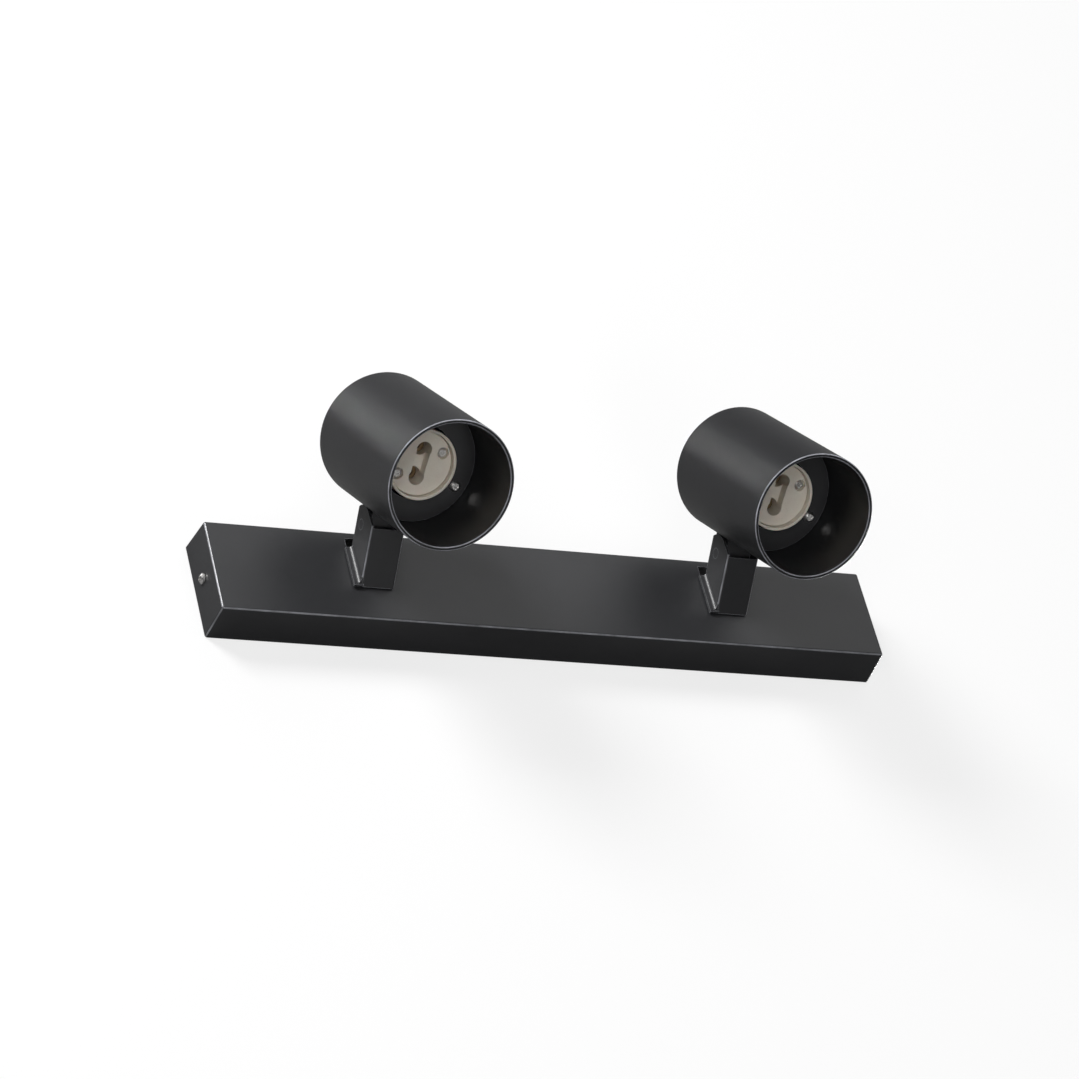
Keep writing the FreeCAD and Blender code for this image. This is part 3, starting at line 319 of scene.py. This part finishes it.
def plated_steel(name, colour, rough):
    """Plated steel with a faint grain and clouded plating."""
    tree = Tree(name)
    grain = tree.noise(PLATE_GRAIN, detail=5.0, stretch=BRUSHED)
    cloud = tree.noise(PLATE_CLOUDS, detail=4.0)
    tint = tree.mix(tree.ramp(cloud, *PLATE_SPAN), colour, tuple(one * CLOUDED for one in colour))
    roughness = tree.ramp(grain, *CLOUD_SPAN, *around(rough, PLATE_SPREAD))
    normal = tree.bump(grain, PLATE_DEPTH, BUMP_STRENGTH)
    tree.principled(Base_Color=tint, Metallic=1.0, Roughness=roughness, Normal=normal)
    return tree.material


def ceramic(name):
    """Unglazed cream steatite: fine pores, cloudy tone and a dry sheen."""
    tree = Tree(name)
    cloud = tree.noise(CLAY_CLOUDS, detail=4.0)
    pores = tree.ramp(tree.cells(PORE_GRAIN), *PORE_FADE)
    colour = tree.mix(tree.ramp(cloud, *CLOUD_SPAN), CLAY_DARK, CLAY_LIGHT)
    colour = tree.mix(tree.math("SUBTRACT", 1.0, pores), colour, CLAY_PORE)
    height = tree.math("ADD", tree.noise(CLAY_GRAIN), tree.math("MULTIPLY", pores, PORE_DEPTH))
    normal = tree.bump(height, BUMP_DEPTH, BUMP_STRENGTH)
    tree.principled(Base_Color=colour, Roughness=CLAY_ROUGH, Specular_IOR_Level=CLAY_SPECULAR, Normal=normal,
                    Subsurface_Weight=CLAY_GLOW, Subsurface_Scale=CLAY_GLOW_DEPTH)
    return tree.material


def moulded(name, colour, shade, rough=0.45):
    """Moulded plastic, rubber or fibre with a fine texture and slight tone changes."""
    tree = Tree(name)
    cloud = tree.noise(MOULD_CLOUDS)
    fine = tree.noise(MOULD_GRAIN)
    tint = tree.mix(tree.ramp(cloud, *CLOUD_SPAN), colour, shade)
    roughness = tree.ramp(fine, *CLOUD_SPAN, *around(rough, MOULD_SPREAD))
    normal = tree.bump(fine, BUMP_DEPTH, BUMP_STRENGTH)
    tree.principled(Base_Color=tint, Roughness=roughness, Normal=normal)
    return tree.material


def make_materials():
    return {
        "black_powder_coat": powder_coat("black_powder_coat", COAT_DARK, COAT_LIGHT),
        "cover_coat": powder_coat("cover_coat", COAT_DARK, COAT_LIGHT, rounded=cover_edges),
        "arm_coat": powder_coat("arm_coat", COAT_DARK, COAT_LIGHT, rounded=arm_edges),
        # The tubes' rims get the strongest painted highlight.
        "tube_coat": powder_coat("tube_coat", TUBE_DARK, TUBE_LIGHT, TUBE_ROUGH, tube_edges, PAINTED_RIM_HIGHLIGHT),
        "zinc_steel": plated_steel("zinc_steel", (0.58, 0.58, 0.56), rough=0.34),
        "bright_screw": plated_steel("bright_screw", (0.86, 0.85, 0.83), rough=0.30),
        "brass": plated_steel("brass", (0.70, 0.52, 0.24), rough=0.33),
        # Brass darkened to a dark brown for the contacts: painted shade of the deep holes they sit in.
        "dull_brass": plated_steel("dull_brass", (0.20, 0.14, 0.075), rough=0.5),
        "cream_ceramic": ceramic("cream_ceramic"),
        "white_nylon": moulded("white_nylon", (0.70, 0.70, 0.66), (0.62, 0.62, 0.58)),
        "black_fibre": moulded("black_fibre", (0.014, 0.014, 0.014), (0.022, 0.022, 0.022), rough=0.6),
        "terminal_plastic": moulded("terminal_plastic", (0.72, 0.72, 0.68), (0.64, 0.64, 0.60), rough=0.4),
        "black_rubber": moulded("black_rubber", (0.018, 0.018, 0.018), (0.026, 0.026, 0.026), rough=0.65),
        "silicone_wire": moulded("silicone_wire", (0.52, 0.50, 0.45), (0.45, 0.43, 0.38), rough=0.5),
        "earth_wire": moulded("earth_wire", (0.10, 0.36, 0.06), (0.14, 0.42, 0.08), rough=0.5),
    }


def dress_nodes(materials):
    """Give each CAD node its slot's material, or the one made for its shape with painted edge highlights, or
    the contacts' brass darkened with painted shade.
    """
    coats = {
        "base_cover": "cover_coat",
        "arm": "arm_coat",
        "head_tube": "tube_coat",
        "lamp_contacts": "dull_brass",
    }
    for entry in frame["record"]["subparts"]:
        name = entry["node"]
        plain = name.replace("left_", "").replace("right_", "")
        node = NODES[name]
        node.data.materials.clear()
        node.data.materials.append(materials[coats.get(plain, entry["material_slot"])])


# ---------------------------------------------------------------- studio

WALL_SIZE = 6.0
WALL_GAP = 0.0006
# The stage's own shade, its glow towards the camera, and the world's light on the object.
STAGE_ALBEDO = 0.21
STAGE_GLOW = 0.75
WORLD_FILL = 0.01


def wall_material():
    """A white surface that keeps shadows; seen from behind it isn't there."""
    tree = Tree("stage_white")
    diffuse = tree.nodes.new("ShaderNodeBsdfDiffuse")
    diffuse.inputs["Color"].default_value = (STAGE_ALBEDO, STAGE_ALBEDO, STAGE_ALBEDO, 1.0)
    glow = tree.nodes.new("ShaderNodeEmission")
    glow.inputs["Color"].default_value = (1, 1, 1, 1)
    path = tree.nodes.new("ShaderNodeLightPath")
    seen = tree.math("MAXIMUM", path.outputs["Is Camera Ray"], path.outputs["Is Transmission Ray"])
    tree.link(tree.math("MULTIPLY", seen, STAGE_GLOW), glow.inputs["Strength"])
    both = tree.nodes.new("ShaderNodeAddShader")
    tree.link(diffuse.outputs["BSDF"], both.inputs[0])
    tree.link(glow.outputs["Emission"], both.inputs[1])
    clear = tree.nodes.new("ShaderNodeBsdfTransparent")
    choice = tree.nodes.new("ShaderNodeMixShader")
    tree.link(tree.nodes.new("ShaderNodeNewGeometry").outputs["Backfacing"], choice.inputs["Fac"])
    tree.link(both.outputs["Shader"], choice.inputs[1])
    tree.link(clear.outputs["BSDF"], choice.inputs[2])
    tree.link(choice.outputs["Shader"], tree.output.inputs["Surface"])
    return tree.material


def add_stage():
    """One large pale plane just behind the wall plane, facing the room; lamps behind it light the back."""
    half = WALL_SIZE / 2
    mesh = bpy.data.meshes.new("stage_wall")
    around = ((-half, -half), (half, -half), (half, half), (-half, half))
    corners = [(x, WALL_GAP, z) for x, z in around]
    mesh.from_pydata(corners, [], [(0, 1, 2, 3)])
    mesh.materials.append(wall_material())
    wall = bpy.data.objects.new("stage_wall", mesh)
    wall.visible_shadow = False
    bpy.context.scene.collection.objects.link(wall)


def add_world():
    """White where the camera sees it, directly or through something clear, and a faint fill otherwise."""
    world = bpy.data.worlds.new("world")
    bpy.context.scene.world = world
    world.use_nodes = True
    nodes, links = world.node_tree.nodes, world.node_tree.links
    nodes.clear()
    path = nodes.new("ShaderNodeLightPath")
    seen = nodes.new("ShaderNodeMath")
    seen.operation = "MAXIMUM"
    links.new(path.outputs["Is Camera Ray"], seen.inputs[0])
    links.new(path.outputs["Is Transmission Ray"], seen.inputs[1])
    fill = nodes.new("ShaderNodeBackground")
    fill.inputs["Color"].default_value = (1, 1, 1, 1)
    fill.inputs["Strength"].default_value = WORLD_FILL
    white = nodes.new("ShaderNodeBackground")
    white.inputs["Color"].default_value = (1, 1, 1, 1)
    white.inputs["Strength"].default_value = 1.0
    choice = nodes.new("ShaderNodeMixShader")
    output = nodes.new("ShaderNodeOutputWorld")
    links.new(seen.outputs["Value"], choice.inputs["Fac"])
    links.new(fill.outputs["Background"], choice.inputs[1])
    links.new(white.outputs["Background"], choice.inputs[2])
    links.new(choice.outputs["Shader"], output.inputs["Surface"])


def add_lamp(name, spot, target, side, watts):
    data = bpy.data.lights.new(name, "AREA")
    data.shape = "SQUARE"
    data.size = side
    data.energy = watts
    lamp = bpy.data.objects.new(name, data)
    # A mirrored ray would stop at the stage, so a lamp behind the wall plane is only sampled directly.
    data.cycles.use_multiple_importance_sampling = spot.y < 0
    turn = (target - spot).to_track_quat("-Z", "Y").to_matrix().to_4x4()
    lamp.matrix_world = Matrix.Translation(spot) @ turn
    bpy.context.scene.collection.objects.link(lamp)


# Each lamp: direction from the lit middle, side length in metres and power in watts.
LAMPS = {
    "key": ((-0.7, -0.7, 0.6), 0.6, 42.0),
    "upper_right": ((0.44, -0.69, 0.57), 1.3, 6.9),
    "low_left": ((-0.5, -0.75, -0.45), 0.5, 5.8),
    "front": ((0.0, -1.0, 0.0), 1.0, 4.0),
    "right": ((1.0, -0.4, 0.0), 1.0, 5.8),
    "into_tubes": ((0.0, -0.59, -0.81), 0.6, 5.8),
    "below": ((0.0, -0.4, -1.0), 1.3, 1.2),
    "sheen": ((-0.45, -0.02, 0.89), 0.4, 3.8),
    "sheen_back": ((-0.38, 0.33, 0.86), 0.5, 1.0),
    "behind": ((1.0, 0.8, 0.2), 1.0, 10.0),
}
LAMP_DISTANCE = 1.9
LIT_MIDDLE = Vector((0.0, -0.04, 0.0))


def add_lamps():
    for name, (direction, side, watts) in LAMPS.items():
        spot = LIT_MIDDLE + Vector(direction).normalized() * LAMP_DISTANCE
        add_lamp(name, spot, LIT_MIDDLE, side, watts)


def colour_management():
    bpy.context.scene.view_settings.view_transform = "Standard"


dress_nodes(make_materials())
add_camera()
add_stage()
add_world()
add_lamps()
colour_management()
